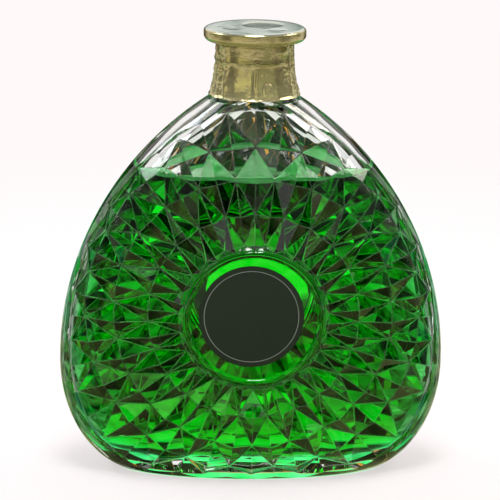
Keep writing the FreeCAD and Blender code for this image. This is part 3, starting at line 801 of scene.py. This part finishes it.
gold = goldFoil()
dryGlass = clearGlass("pressedFlintGlass", "#ffffff")
wetGlass = clearGlass("wettedFlintGlass", "#000000")  # against the liquid it mirrors next to nothing
ridgeHighlightGlass = clearGlass("paintedRidgeHighlightGlass", "#ffffff", roughness=0.10, clear=0.972)  # a little white scatter and roughness on the ridges: painted highlight lines along them
dress(flaskGlass(), (dryGlass, wetGlass, ridgeHighlightGlass), "bottle", "bottle_glass")
dress(fragrancePool(), (greenFragrance(),), "bottle", "fragrance_liquid")
dress(labelDisc(), (labelPaper(),), "bottle", "front_label")
dress(skirtFoil(), (gold,), "bottle", "capsule_skirt")
dress(capFoil(), (gold,), "stopper", "capsule_cap")
dress(topDiscFoil(), (gold,), "stopper", "capsule_top_disc")
for node, finish in (("stopper_head", headPlastic()), ("stopper_plug", plugCork())):
    frame["nodes"][node].data.materials.clear()
    frame["nodes"][node].data.materials.append(finish)

# Studio: a pale floor, soft light, and cards round the bottle that give the glass and the foil their contrast

studio = dict(
    background="#fff9f9", floorSize=8.0, worldLevel=0.50, floorFade=(0.35, 0.7), floorGlow=0.6,
    patchEdge=(0.35, 0.65), matSides=64,
    # cards stand round the bottle: turn to the left from behind in degrees, distance, low edge, width and
    # height, then their look: two colours, size of the patches, strength, seen in mirrors, seen through glass
    cards=(
        # dark behind the bottle, then pale, then dark again to its sides, and two amber slivers behind it
        (0, 0.37, 0.0, 0.22, 0.22, "#020202", "#1c1c18", 0.03, 1.0, True, True),
        (30, 0.38, 0.0, 0.18, 0.22, "#040402", "#2c2c22", 0.03, 1.0, True, True),
        (-30, 0.38, 0.0, 0.18, 0.22, "#040402", "#2c2c22", 0.03, 1.0, True, True),
        (56, 0.40, 0.04, 0.10, 0.30, "#d0d0d0", "#ffffff", 0.05, 1.0, True, True),
        (-56, 0.40, 0.04, 0.10, 0.30, "#d0d0d0", "#ffffff", 0.05, 1.0, True, True),
        (112, 0.44, 0.06, 0.22, 0.28, "#050604", "#343820", 0.04, 1.0, True, True),
        (-112, 0.44, 0.06, 0.22, 0.28, "#050604", "#343820", 0.04, 1.0, True, True),
        (-8, 0.35, 0.0, 0.012, 0.20, "#d09020", "#f0b040", 0.05, 1.0, True, True),
        (14, 0.35, 0.0, 0.010, 0.20, "#a08040", "#d0b070", 0.05, 0.8, True, True),
        # a dark and a pale strip, which the top of the stopper mirrors
        (0, 0.37, 0.221, 0.60, 0.010, "#0c2824", "#3c5c56", 0.04, 1.0, True, False),
        (0, 0.37, 0.231, 0.60, 0.040, "#608078", "#ffffff", 0.03, 1.0, True, False),
        # low and dark to the right of the camera
        (-144, 0.55, 0.0, 0.14, 0.10, "#0c0c08", "#202018", 0.03, 1.0, True, False),
        # dark close behind the upper liquid, and green low to the sides for the edges of the glass
        (0, 0.10, 0.0645, 0.17, 0.040, "#020402", "#0c140c", 0.02, 1.0, False, True),
        (50, 0.26, 0.0, 0.36, 0.08, "#108040", "#68f0a0", 0.02, 1.0, True, False),
        (-50, 0.26, 0.0, 0.36, 0.08, "#108040", "#68f0a0", 0.02, 1.0, True, False),
        # round the camera: pale to the left, dark in the middle and pale to the right, for the foil's panels
        (140, 0.80, 0.15, 0.70, 0.26, "#a8a878", "#eef0c6", 0.10, 1.5, True, False),
        (-175, 0.79, 0.10, 0.32, 0.40, "#040402", "#100e0a", 0.10, 1.0, True, False),
        (-140, 0.80, 0.15, 0.70, 0.26, "#606848", "#bcc89c", 0.10, 1.2, True, False),
        # the dim room further out
        (180, 1.20, 0.0, 3.00, 1.40, "#0c120c", "#7a8a76", 0.12, 1.0, True, True),
        (90, 1.20, 0.0, 2.40, 1.40, "#0c120c", "#7a8a76", 0.12, 1.0, True, False),
        (-90, 1.20, 0.0, 2.40, 1.40, "#0c120c", "#7a8a76", 0.12, 1.0, True, False),
    ),
    # mats lie on the floor, and the last is the ceiling: height, inner and outer radius, then their look
    mats=(
        # painted light: the green glow that the liquid throws on the floor under the bottle
        (0.2 * mm, 0.0, 0.07, "#10c050", "#48ff90", 0.015, 1.0, True, True),
        # painted shadow of the bottle on the floor round its foot: tinted green nearest the foot, then grey
        (0.2 * mm, 0.07, 0.10, "#041c10", "#38a068", 0.015, 1.0, True, True),
        (0.2 * mm, 0.10, 0.17, "#202020", "#c8c8c0", 0.03, 1.0, True, True),
        (0.2 * mm, 0.17, 0.50, "#080808", "#3c3c38", 0.04, 1.0, False, True),
        (0.2 * mm, 0.50, 1.20, "#080808", "#3c3c38", 0.06, 1.0, False, True),
        (0.6 * mm, 0.0, 0.26, "#202810", "#c6d084", 0.03, 1.0, True, False),
        (0.6 * mm, 0.26, 0.45, "#363c2c", "#ccd8b4", 0.05, 1.0, True, False),
        (1.6, 0.0, 1.5, "#303030", "#909090", 0.3, 1.0, True, True),
    ),
    # bright sheets on the floor, each both before and behind the bottle, the last under its foot: height,
    # place along X, near and far edge from the bottle, width, then their look
    sheets=(
        (0.4 * mm, 0.012, 0.245, 0.325, 0.068, "#ffffff", "#ffffff", 0.1, 1.5, False, True),
        (0.4 * mm, 0.08, 0.15, 0.26, 0.08, "#909090", "#ffffff", 0.03, 0.9, False, True),
        (0.4 * mm, -0.08, 0.15, 0.26, 0.08, "#909090", "#ffffff", 0.03, 0.9, False, True),
        (0.4 * mm, 0.23, 0.10, 0.32, 0.14, "#a0a0a0", "#ffffff", 0.03, 1.0, False, True),
        (0.4 * mm, -0.23, 0.10, 0.32, 0.14, "#a0a0a0", "#ffffff", 0.03, 1.0, False, True),
        # painted light: green glow under the foot, from light passing through the liquid
        (0.4 * mm, 0.0, 0.0, 0.022, 0.10, "#18e060", "#60ff98", 0.015, 1.3, True, True),
    ),
    lamps=(  # place, aim, width, height, power, colour
        ((0.0, -0.25, 1.30), (0.0, 0.0, 0.08), 0.4, 0.4, 9.0, "#ffffff"),
        ((-0.85, 0.30, 0.85), (0.0, 0.0, 0.10), 0.4, 0.4, 3.0, "#f4f7ff"),
        ((0.85, 0.30, 0.85), (0.0, 0.0, 0.10), 0.4, 0.4, 3.0, "#fff8ee"),
    ),
)
camera = dict(distance=730 * mm, azimuth=-2.0, height=296.35 * mm, aimHeight=89.35 * mm, sideShift=-0.9 * mm,
              roll=0.7, focal=138.96, sensor=36.0)


def seenThrough(tree):  # rays that show the background: straight, reflected and refracted ones
    path = addNode(tree, "ShaderNodeLightPath").outputs
    mirrored = addNode(tree, "ShaderNodeMath", {0: path["Is Camera Ray"], 1: path["Is Glossy Ray"]},
                       operation="MAXIMUM")
    return addNode(tree, "ShaderNodeMath", {0: mirrored.outputs["Value"], 1: path["Is Transmission Ray"]},
                   operation="MAXIMUM").outputs["Value"]


def setWorld():
    world = bpy.data.worlds.new("softRoom")
    scene.world = world
    world.use_nodes = True
    tree = world.node_tree
    tree.nodes.clear()
    shown = addNode(tree, "ShaderNodeBackground", {"Color": linear(studio["background"]), "Strength": 1.0})
    light = addNode(tree, "ShaderNodeBackground", {
        "Color": linear("#ffffff"), "Strength": studio["worldLevel"]})
    mixed = addNode(tree, "ShaderNodeMixShader", {
        0: seenThrough(tree), 1: light.outputs[0], 2: shown.outputs[0]})
    addNode(tree, "ShaderNodeOutputWorld", {"Surface": mixed.outputs[0]})


def floorFinish():  # matt paper, which keeps the shadow, and fades into the even background further out
    finish, tree = newMaterial("palePaperFloor")
    place = addNode(tree, "ShaderNodeTexCoord").outputs["Object"]
    away = addNode(tree, "ShaderNodeVectorMath", {0: place}, operation="LENGTH")
    near, far = studio["floorFade"]
    fade = addNode(tree, "ShaderNodeMapRange", {
        "Value": away.outputs["Value"], "From Min": near, "From Max": far, "To Min": studio["floorGlow"]})
    share = addNode(tree, "ShaderNodeMath", {0: fade.outputs["Result"], 1: seenThrough(tree)},
                    operation="MULTIPLY")
    paper = addNode(tree, "ShaderNodeBsdfDiffuse", {"Color": linear(studio["background"])})
    glow = addNode(tree, "ShaderNodeEmission", {"Color": linear(studio["background"]), "Strength": 1.0})
    mixed = addNode(tree, "ShaderNodeMixShader", {
        0: share.outputs["Value"], 1: paper.outputs[0], 2: glow.outputs[0]})
    addNode(tree, "ShaderNodeOutputMaterial", {"Surface": mixed.outputs[0]})
    return finish


def setFloor():
    bm = bmesh.new()
    bmesh.ops.create_grid(bm, x_segments=1, y_segments=1, size=0.5 * studio["floorSize"])
    floor = makeObject("floor", bm)
    floor.data.materials.append(floorFinish())


def setCard(name, bm, dark, pale, patch, strength, mirrored, throughGlass):  # never seen by the camera itself
    card = makeObject(name, bm)
    finish, tree = newMaterial(name)
    place = addNode(tree, "ShaderNodeTexCoord").outputs["Object"]
    cloud = addNode(tree, "ShaderNodeTexNoise", {"Vector": place, "Scale": 1.0 / patch, "Detail": 2.0})
    low, high = studio["patchEdge"]
    share = addNode(tree, "ShaderNodeMapRange", {
        "Value": cloud.outputs["Fac"], "From Min": low, "From Max": high})
    colour = addNode(tree, "ShaderNodeMix", {
        "Factor": share.outputs["Result"], mixA: linear(dark), mixB: linear(pale)},
        data_type="RGBA")
    glow = addNode(tree, "ShaderNodeEmission", {"Color": colour.outputs[mixResult], "Strength": strength})
    addNode(tree, "ShaderNodeOutputMaterial", {"Surface": glow.outputs[0]})
    card.data.materials.append(finish)
    card.visible_camera = card.visible_diffuse = card.visible_shadow = False
    card.visible_glossy, card.visible_transmission = mirrored, throughGlass


def flatSheet(place, turn, width, height):
    bm = bmesh.new()
    bmesh.ops.create_grid(bm, x_segments=1, y_segments=1, size=0.5)
    stand = Matrix.Translation(place) @ turn @ Matrix.Diagonal((width, height, 1.0, 1.0))
    bmesh.ops.transform(bm, matrix=stand, verts=bm.verts[:])
    return bm


def setCards():
    for number, (turn, distance, low, width, height, *look) in enumerate(studio["cards"]):
        about = Matrix.Rotation(math.radians(turn), 4, "Z")
        middle = about @ Vector((0.0, distance, low + 0.5 * height))
        setCard("studioCard%d" % number, flatSheet(middle, about @ standUp, width, height), *look)
    for number, (height, x, near, far, width, *look) in enumerate(studio["sheets"]):
        for side, name in ((1, "Back"), (-1, "Front")):
            middle = Vector((x, side * 0.5 * (near + far), height))
            setCard("studioSheet%s%d" % (name, number),
                    flatSheet(middle, Matrix.Identity(4), width, far - near), *look)
    for number, (height, inner, outer, *look) in enumerate(studio["mats"]):
        bm = bmesh.new()
        bmesh.ops.create_circle(bm, segments=studio["matSides"], radius=outer, cap_ends=inner == 0.0)
        if inner > 0.0:
            verts = extrudeLoop(bm, bm.edges[:])[0]
            bmesh.ops.scale(bm, vec=(inner / outer, inner / outer, 1.0), verts=verts)
        bmesh.ops.translate(bm, vec=(0.0, 0.0, height), verts=bm.verts[:])
        setCard("studioMat%d" % number, bm, *look)


def setLamps():
    for number, (place, aim, width, height, power, colour) in enumerate(studio["lamps"]):
        lamp = bpy.data.lights.new("softBox%d" % number, "AREA")
        lamp.shape, lamp.size, lamp.size_y = "RECTANGLE", width, height
        lamp.energy, lamp.color = power, linear(colour)[:3]
        stand = bpy.data.objects.new("softBox%d" % number, lamp)
        stand.location = place
        stand.rotation_euler = (Vector(aim) - Vector(place)).to_track_quat("-Z", "Y").to_euler()
        scene.collection.objects.link(stand)


def setCamera():
    turn, distance, shift = math.radians(camera["azimuth"]), camera["distance"], camera["sideShift"]
    place = Vector((distance * math.sin(turn) + shift, -distance * math.cos(turn), camera["height"]))
    aim = Vector((shift, 0.0, camera["aimHeight"]))
    lens = bpy.data.cameras.new("photoView")
    lens.lens, lens.sensor_width = camera["focal"], camera["sensor"]
    eye = bpy.data.objects.new("photoView", lens)
    look = (aim - place).to_track_quat("-Z", "Y").to_matrix().to_4x4()
    roll = Matrix.Rotation(math.radians(camera["roll"]), 4, "Z")
    eye.matrix_world = Matrix.Translation(place) @ look @ roll
    scene.collection.objects.link(eye)
    scene.camera = eye


setWorld()
setFloor()
setCards()
setLamps()
setCamera()
print("studio set")
